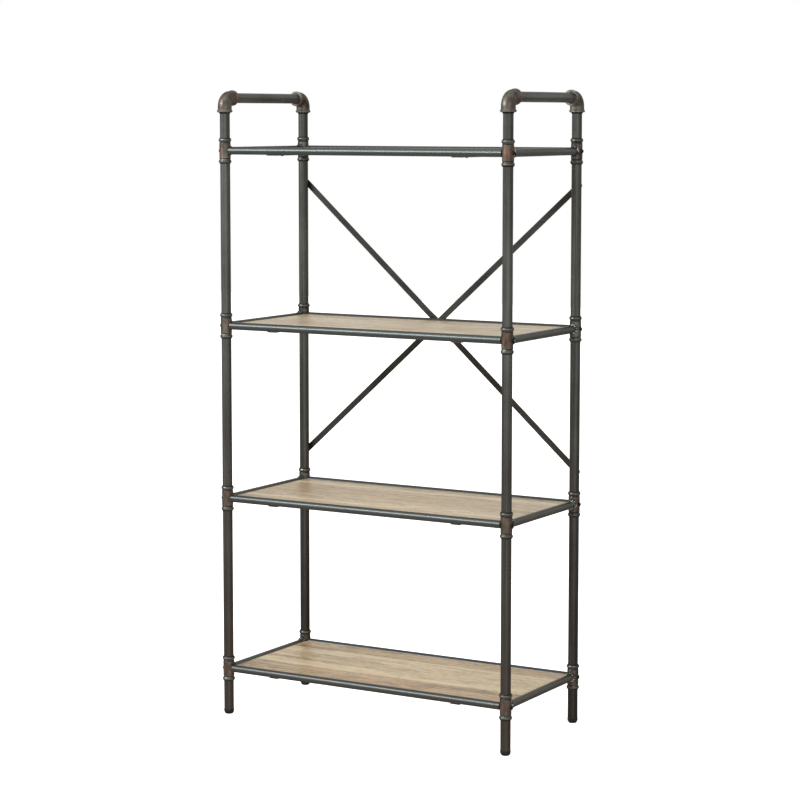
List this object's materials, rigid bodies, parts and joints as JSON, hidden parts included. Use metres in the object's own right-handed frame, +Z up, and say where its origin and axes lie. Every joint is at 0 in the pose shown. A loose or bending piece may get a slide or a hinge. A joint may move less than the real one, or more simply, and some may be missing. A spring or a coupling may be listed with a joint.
{
  "type": "bookshelf",
  "caption": "Open bookshelf with wood boards in a round-tube frame of cast pipe fittings, crossed flat bars at the rear and a handle pipe over each side.",
  "frame": {"origin": "on the floor, in the middle of the four feet", "axes": "+X to the right along the shelves seen from the front, +Y to the back, +Z up"},
  "size_m": [0.839, 0.4, 1.5855],
  "materials": {
    "pipe": "satin gunmetal lacquer, faintly brushed along the tube, browner near the fittings",
    "fitting": "cast and lacquered, bronze-brown sleeves with worn bright beads and rims",
    "rail": "smooth satin gunmetal lacquer with a long clear highlight",
    "board": "light oak staves along the shelf, grey-brown grain, matt lacquer",
    "strap": "satin dark lacquer",
    "brace": "satin dark gunmetal lacquer",
    "bolt": "black oxide, slightly oily",
    "screw": "black zinc",
    "insert": "plain turned steel",
    "glide": "matt black moulded plastic"
  },
  "bodies": {
    "root": {"post_front_left": "pipe", "glide_front_left": "glide", "elbow_front_left": "fitting", "coupling_front_left_1": "fitting", "coupling_front_left_2": "fitting", "coupling_front_left_3": "fitting", "coupling_front_left_4": "fitting", "post_front_right": "pipe", "glide_front_right": "glide", "elbow_front_right": "fitting", "coupling_front_right_1": "fitting", "coupling_front_right_2": "fitting", "coupling_front_right_3": "fitting", "coupling_front_right_4": "fitting", "post_rear_left": "pipe", "glide_rear_left": "glide", "elbow_rear_left": "fitting", "coupling_rear_left_1": "fitting", "coupling_rear_left_2": "fitting", "coupling_rear_left_3": "fitting", "coupling_rear_left_4": "fitting", "post_rear_right": "pipe", "glide_rear_right": "glide", "elbow_rear_right": "fitting", "coupling_rear_right_1": "fitting", "coupling_rear_right_2": "fitting", "coupling_rear_right_3": "fitting", "coupling_rear_right_4": "fitting", "handle_pipe_left": "pipe", "handle_pipe_right": "pipe", "front_rail_1": "rail", "rear_rail_1": "rail", "left_rail_1": "rail", "right_rail_1": "rail", "shelf_board_1": "board", "front_rail_2": "rail", "rear_rail_2": "rail", "left_rail_2": "rail", "right_rail_2": "rail", "shelf_board_2": "board", "front_rail_3": "rail", "rear_rail_3": "rail", "left_rail_3": "rail", "right_rail_3": "rail", "shelf_board_3": "board", "front_rail_4": "rail", "rear_rail_4": "rail", "left_rail_4": "rail", "right_rail_4": "rail", "shelf_board_4": "board", "board_straps": "strap", "board_screws": "screw", "rail_bolts": "bolt", "rail_inserts": "insert", "brace_rising": "brace", "brace_falling": "brace", "brace_bolts": "bolt", "brace_nuts": "insert"}
  },
  "joints": []
}
